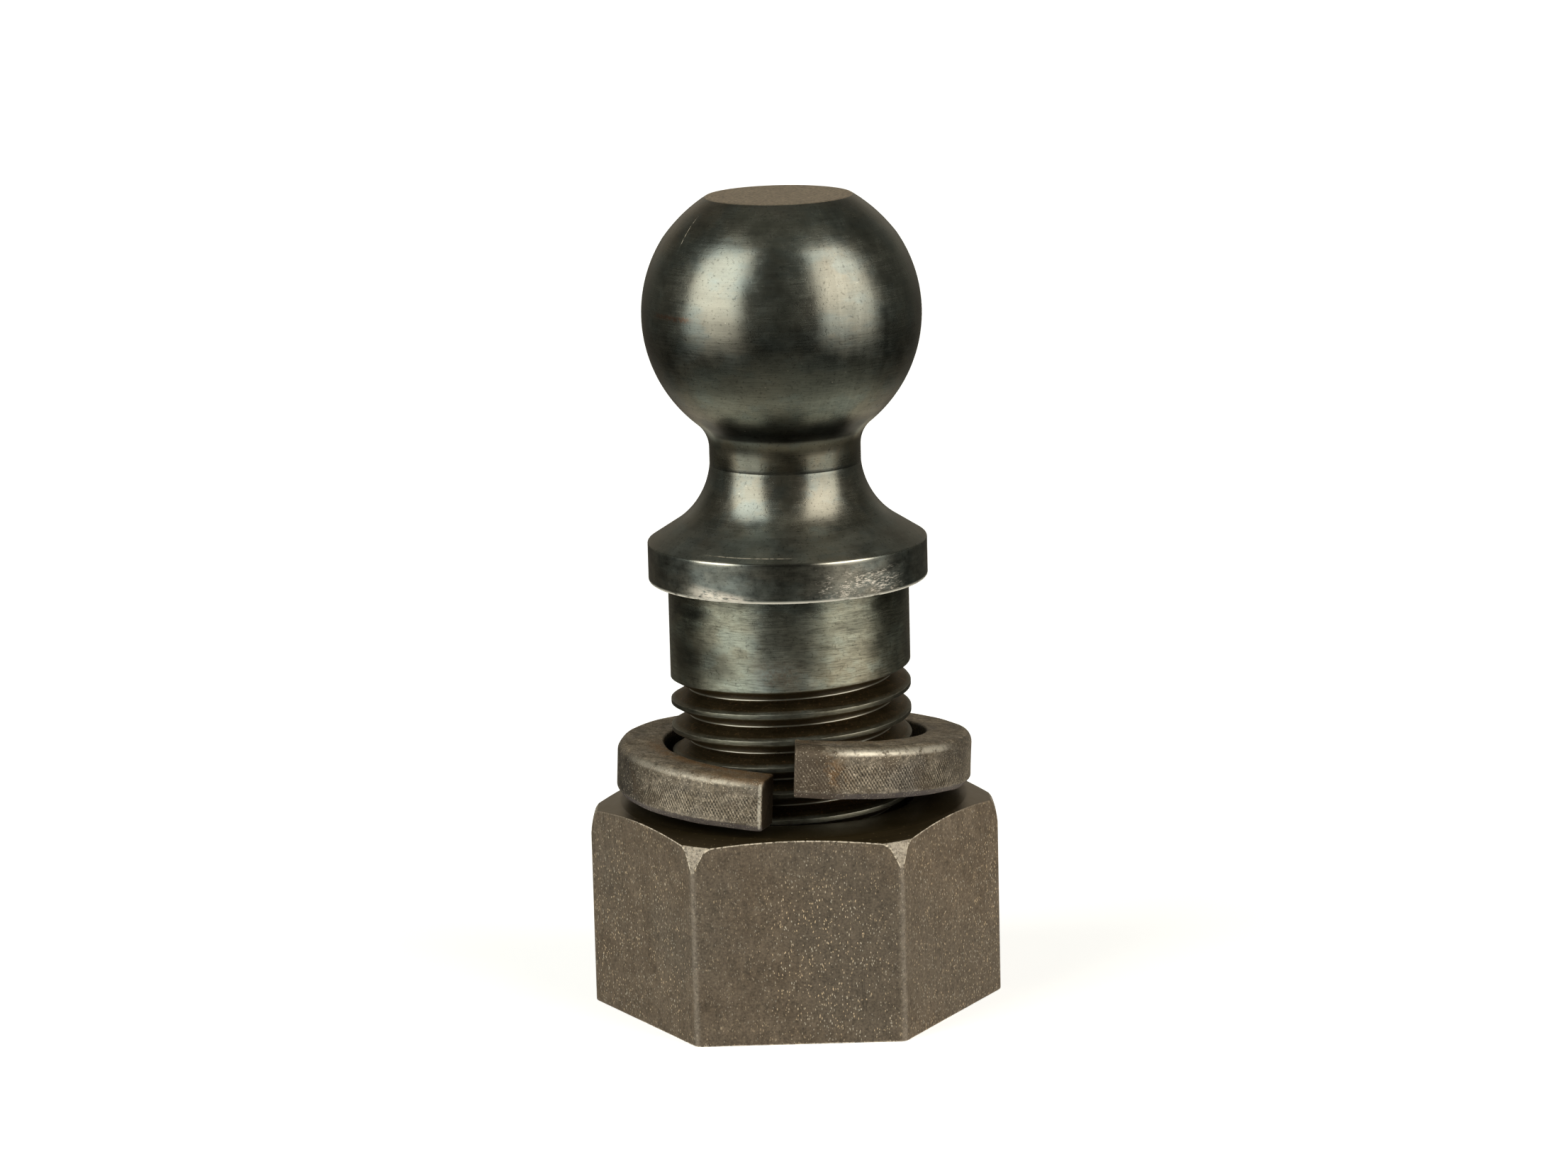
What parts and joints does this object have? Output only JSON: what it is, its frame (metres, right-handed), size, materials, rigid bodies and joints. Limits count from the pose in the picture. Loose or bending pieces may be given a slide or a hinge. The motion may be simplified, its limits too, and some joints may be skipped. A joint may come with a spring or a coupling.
{
  "type": "threaded ball stud",
  "caption": "Threaded ball stud: a flat-topped steel ball on a waisted neck and flange, with a threaded shank that carries a split lock washer and screws through a large hex nut.",
  "frame": {"origin": "on the stud's axis, at the flat bottom face of the nut that the part stands on", "axes": "+Z along the stud's axis from the nut to the ball, -Y out of the nut's front flat, +X to the right seen from the front"},
  "size_m": [0.0868, 0.0758, 0.1728],
  "materials": {
    "stud_steel": "turned and polished dark oiled steel, with fine lathe marks and bright scuffs on the flange",
    "washer_steel": "brown-grey spring steel, finely knurled outside, bright worn edges and a little rust",
    "nut_steel": "matte brown-grey forged steel with fine pale specks and bare corners"
  },
  "bodies": {
    "nut": {"hex_nut": "nut_steel"},
    "washer": {"lock_washer": "washer_steel"},
    "stud": {"ball_stud": "stud_steel"}
  },
  "joints": [
    {"name": "stud_turn", "type": "hinge", "parent": "nut", "child": "washer", "pos_m": [0, 0, 0.044], "axis": [0, 0, 1], "range_deg": [-1620, 2160]},
    {"name": "stud_rise", "type": "slide", "parent": "washer", "child": "stud", "axis": [0, 0, 1], "range_m": [-0.0256, 0.0341]}
  ],
  "couplings": [
    {"joint": "stud_rise", "follows": "stud_turn", "m_per_rad": 0.00089833}
  ]
}
